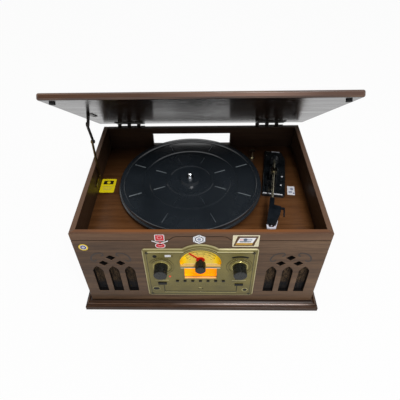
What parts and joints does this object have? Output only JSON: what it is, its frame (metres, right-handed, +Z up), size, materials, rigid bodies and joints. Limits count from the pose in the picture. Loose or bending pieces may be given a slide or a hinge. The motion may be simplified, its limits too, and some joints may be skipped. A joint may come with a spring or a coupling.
{
  "type": "record player",
  "caption": "Wooden table-top record player with hinged lid on a folding stay, belt-driven platter, pivoted tonearm, radio dial fascia, disc tray and front speakers.",
  "frame": {"origin": "below the middle of the box that the whole part fills, on the surface its feet stand on", "axes": "+X to the right seen from the front, +Y to the back, +Z up"},
  "size_m": [0.45, 0.3454, 0.4255],
  "materials": {
    "walnut_front": "satin",
    "walnut_case": "satin",
    "walnut_lid": "gloss",
    "walnut_deck": "satin",
    "walnut_plinth": "satin",
    "raw_board": "matte",
    "foot_rubber": "matte",
    "grille_cloth": "matte",
    "speaker_metal": "satin",
    "speaker_paper": "matte",
    "hinge_brass": "satin",
    "screw_steel": "satin",
    "chrome": "gloss",
    "motor_metal": "satin",
    "pulley_brass": "satin",
    "platter_black": "satin",
    "arm_base_black": "gloss",
    "yoke_black": "satin",
    "arm_tube_brass": "gloss",
    "head_black": "satin",
    "cartridge_white": "gloss",
    "lever_grey": "gloss",
    "fascia_bronze": "satin",
    "dial_yellow": "satin",
    "dial_clear": "gloss",
    "needle_red": "gloss",
    "knob_black": "gloss",
    "key_black": "gloss",
    "drive_plastic": "matte",
    "board_green": "satin"
  },
  "bodies": {
    "cabinet": {"front_panel": "walnut_front", "side_panels": "walnut_case", "back_panel": "walnut_case", "bottom_board": "raw_board", "plinth_moulding": "walnut_plinth", "deck_board": "walnut_deck", "deck_cleats": "raw_board", "rubber_feet": "foot_rubber", "grille_cloths": "grille_cloth", "speaker_frames": "speaker_metal", "speaker_cones": "speaker_paper", "case_hinges": "hinge_brass", "stay_wall_bracket": "hinge_brass", "case_screws": "screw_steel", "spindle": "chrome", "drive_belt": "foot_rubber", "drive_motor": "motor_metal", "tonearm_base": "arm_base_black", "adapter_post": "chrome", "fascia_plate": "fascia_bronze", "dial_scale": "dial_yellow", "dial_lens": "dial_clear", "control_pots": "motor_metal", "cd_drive": "drive_plastic", "circuit_board": "board_green", "power_transformer": "motor_metal", "rear_jack_panel": "drive_plastic", "power_inlet": "drive_plastic", "fascia_inserts": "key_black"},
    "lid": {"lid_panel": "walnut_lid", "lid_bumpers": "foot_rubber", "lid_hinge_leaves": "hinge_brass", "lid_screws": "screw_steel", "stay_lid_bracket": "hinge_brass"},
    "stay_upper": {"stay_upper_arm": "hinge_brass"},
    "stay_lower": {"stay_lower_arm": "hinge_brass"},
    "platter": {"platter": "platter_black"},
    "pulley": {"motor_pulley": "pulley_brass"},
    "arm_yoke": {"tonearm_yoke": "yoke_black"},
    "arm": {"tonearm_tube": "arm_tube_brass", "counterweight": "yoke_black", "headshell": "head_black", "cartridge": "cartridge_white"},
    "cue": {"cue_lever": "lever_grey"},
    "speed": {"speed_lever": "lever_grey"},
    "stop": {"stop_lever": "lever_grey"},
    "tuning": {"tuning_knob": "knob_black", "tuning_needle": "needle_red"},
    "volume": {"volume_knob": "knob_black"},
    "function": {"function_knob": "knob_black"},
    "tray": {"cd_tray": "fascia_bronze"},
    "power_key": {"power_button": "key_black"},
    "open_key": {"open_button": "key_black"},
    "key_1": {"push_button_1": "key_black"},
    "key_2": {"push_button_2": "key_black"},
    "key_3": {"push_button_3": "key_black"},
    "key_4": {"push_button_4": "key_black"},
    "key_5": {"push_button_5": "key_black"},
    "key_6": {"push_button_6": "key_black"},
    "key_7": {"push_button_7": "key_black"}
  },
  "joints": [
    {"name": "lid_hinge", "type": "hinge", "parent": "cabinet", "child": "lid", "pos_m": [0, 0.164, 0.214], "axis": [1, 0, 0], "range_deg": [0, 38.45]},
    {"name": "stay_lower_fold", "type": "hinge", "parent": "cabinet", "child": "stay_lower", "pos_m": [-0.201, 0.0245, 0.191], "axis": [1, 0, 0], "range_deg": [0, 100.58]},
    {"name": "stay_upper_fold", "type": "hinge", "parent": "lid", "child": "stay_upper", "pos_m": [-0.198, 0.0185, 0.31459], "axis": [1, 0, 0], "range_deg": [-116.7, 0]},
    {"name": "platter_spin", "type": "hinge", "parent": "cabinet", "child": "platter", "pos_m": [-0.02, 0.0195, 0.1845], "axis": [0, 0, -1], "continuous": true},
    {"name": "pulley_spin", "type": "hinge", "parent": "cabinet", "child": "pulley", "pos_m": [-0.10344, 0.10294, 0.1765], "axis": [0, 0, -1], "continuous": true},
    {"name": "tonearm_swing", "type": "hinge", "parent": "cabinet", "child": "arm_yoke", "pos_m": [0.1439, 0.0295, 0.1805], "axis": [0, 0, -1], "range_deg": [0, 57]},
    {"name": "tonearm_lift", "type": "hinge", "parent": "arm_yoke", "child": "arm", "pos_m": [0.1439, 0.0295, 0.1975], "axis": [-0.9848, 0.1736, 0], "range_deg": [0, 8]},
    {"name": "cue_lever_tilt", "type": "hinge", "parent": "cabinet", "child": "cue", "pos_m": [0.13136, 0.01427, 0.1774], "axis": [-0.9877, 0.1564, 0], "range_deg": [0, 20]},
    {"name": "speed_lever_turn", "type": "hinge", "parent": "cabinet", "child": "speed", "pos_m": [0.16512, 0.04841, 0.175], "axis": [0, 0, 1], "range_deg": [-12, 12]},
    {"name": "stop_lever_turn", "type": "hinge", "parent": "cabinet", "child": "stop", "pos_m": [0.15845, 0.0191, 0.175], "axis": [0, 0, 1], "range_deg": [-12, 12]},
    {"name": "tuning_turn", "type": "hinge", "parent": "cabinet", "child": "tuning", "pos_m": [0.0005, -0.1525, 0.144], "axis": [0, 1, 0], "range_deg": [-29, 121]},
    {"name": "volume_turn", "type": "hinge", "parent": "cabinet", "child": "volume", "pos_m": [-0.068, -0.1525, 0.1345], "axis": [0, 1, 0], "range_deg": [-150, 150]},
    {"name": "function_turn", "type": "hinge", "parent": "cabinet", "child": "function", "pos_m": [0.068, -0.1525, 0.1345], "axis": [0, 1, 0], "range_deg": [-60, 60]},
    {"name": "tray_slide", "type": "slide", "parent": "cabinet", "child": "tray", "axis": [0, -1, 0], "range_m": [0, 0.12]},
    {"name": "key_1_press", "type": "slide", "parent": "cabinet", "child": "key_1", "axis": [0, 1, 0], "range_m": [0, 0.0012], "stiffness_N_per_m": 200, "springref_m": -0.0006},
    {"name": "key_2_press", "type": "slide", "parent": "cabinet", "child": "key_2", "axis": [0, 1, 0], "range_m": [0, 0.0012], "stiffness_N_per_m": 200, "springref_m": -0.0006},
    {"name": "key_3_press", "type": "slide", "parent": "cabinet", "child": "key_3", "axis": [0, 1, 0], "range_m": [0, 0.0012], "stiffness_N_per_m": 200, "springref_m": -0.0006},
    {"name": "key_4_press", "type": "slide", "parent": "cabinet", "child": "key_4", "axis": [0, 1, 0], "range_m": [0, 0.0012], "stiffness_N_per_m": 200, "springref_m": -0.0006},
    {"name": "key_5_press", "type": "slide", "parent": "cabinet", "child": "key_5", "axis": [0, 1, 0], "range_m": [0, 0.0012], "stiffness_N_per_m": 200, "springref_m": -0.0006},
    {"name": "key_6_press", "type": "slide", "parent": "cabinet", "child": "key_6", "axis": [0, 1, 0], "range_m": [0, 0.0012], "stiffness_N_per_m": 200, "springref_m": -0.0006},
    {"name": "key_7_press", "type": "slide", "parent": "cabinet", "child": "key_7", "axis": [0, 1, 0], "range_m": [0, 0.0012], "stiffness_N_per_m": 200, "springref_m": -0.0006},
    {"name": "power_press", "type": "slide", "parent": "cabinet", "child": "power_key", "axis": [0, 1, 0], "range_m": [0, 0.0012], "stiffness_N_per_m": 200, "springref_m": -0.0006},
    {"name": "open_press", "type": "slide", "parent": "cabinet", "child": "open_key", "axis": [0, 1, 0], "range_m": [0, 0.0012], "stiffness_N_per_m": 200, "springref_m": -0.0006}
  ],
  "couplings": [
    {"joint": "stay_lower_fold", "follows": "lid_hinge", "ratio": 2.6133},
    {"joint": "stay_upper_fold", "follows": "lid_hinge", "ratio": -3.0325},
    {"joint": "pulley_spin", "follows": "platter_spin", "ratio": 16.667},
    {"joint": "cue_lever_tilt", "follows": "tonearm_lift", "ratio": 2.5}
  ]
}
